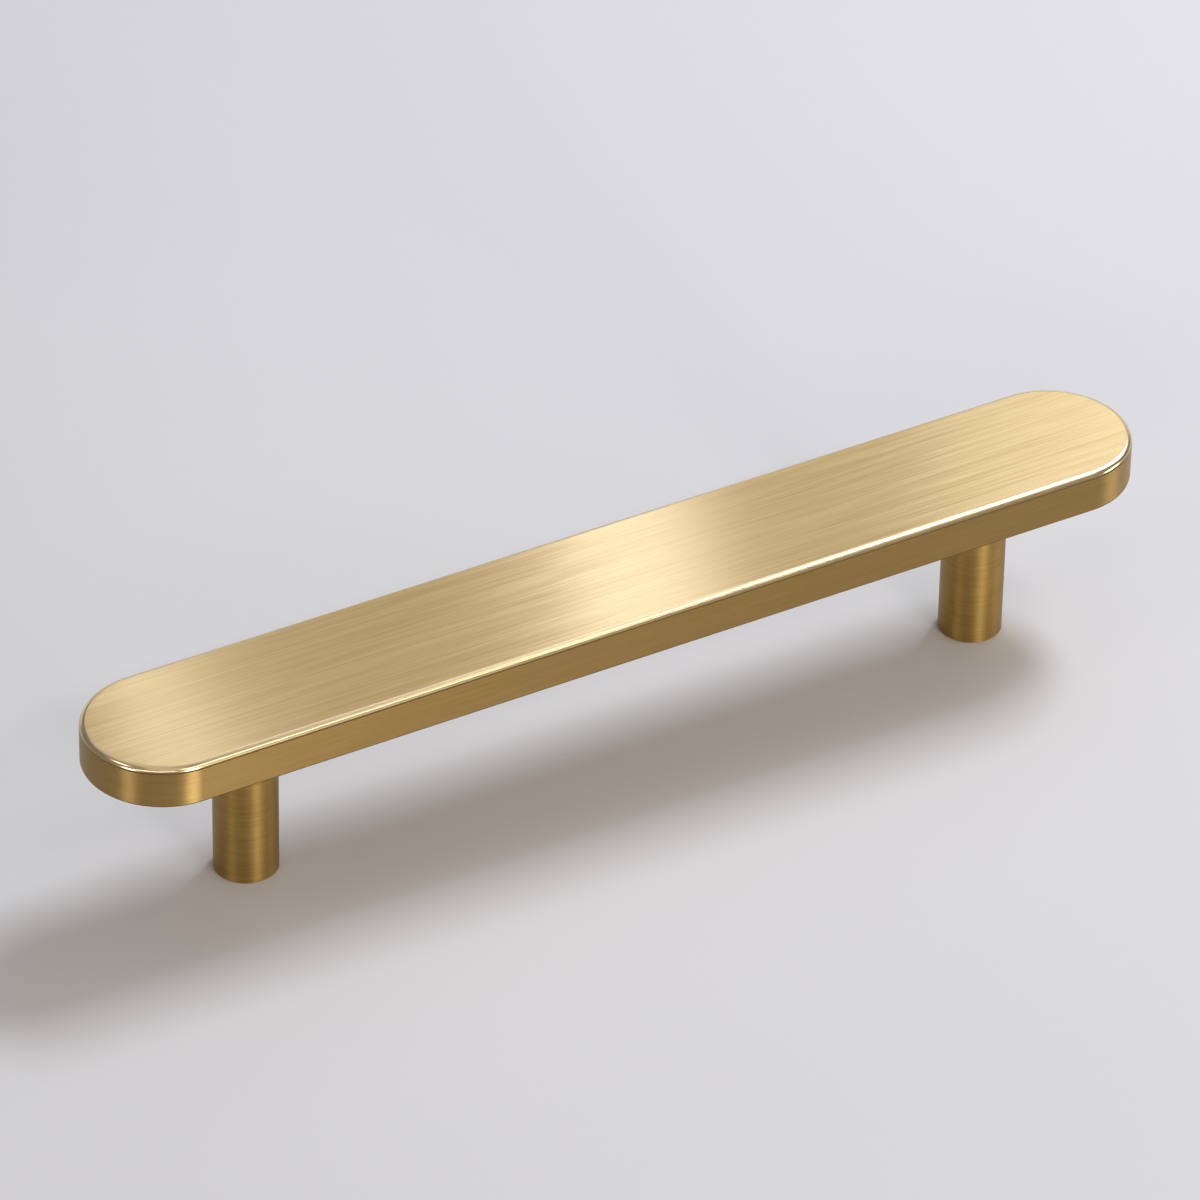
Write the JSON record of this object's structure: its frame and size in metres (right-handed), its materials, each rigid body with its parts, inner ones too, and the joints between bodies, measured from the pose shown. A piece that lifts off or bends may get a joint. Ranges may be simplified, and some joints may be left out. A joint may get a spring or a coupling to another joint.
{
  "type": "cabinet pull",
  "caption": "Flat bar pull with round ends on turned posts, in brushed brass, screwed to a door or drawer front from behind.",
  "frame": {"origin": "on the cabinet's face, under the feet, midway between the two fixing holes", "axes": "+X along the bar, +Y across the bar, +Z from the cabinet's face towards the hand"},
  "size_m": [0.18, 0.025, 0.032],
  "materials": {
    "brushed_brass": "satin, brushed along the bar and turned around the posts",
    "stud_steel": "bright zinc plate"
  },
  "bodies": {
    "root": {"grip_bar": "brushed_brass", "left_post": "brushed_brass", "right_post": "brushed_brass", "joining_studs": "stud_steel"}
  },
  "joints": []
}
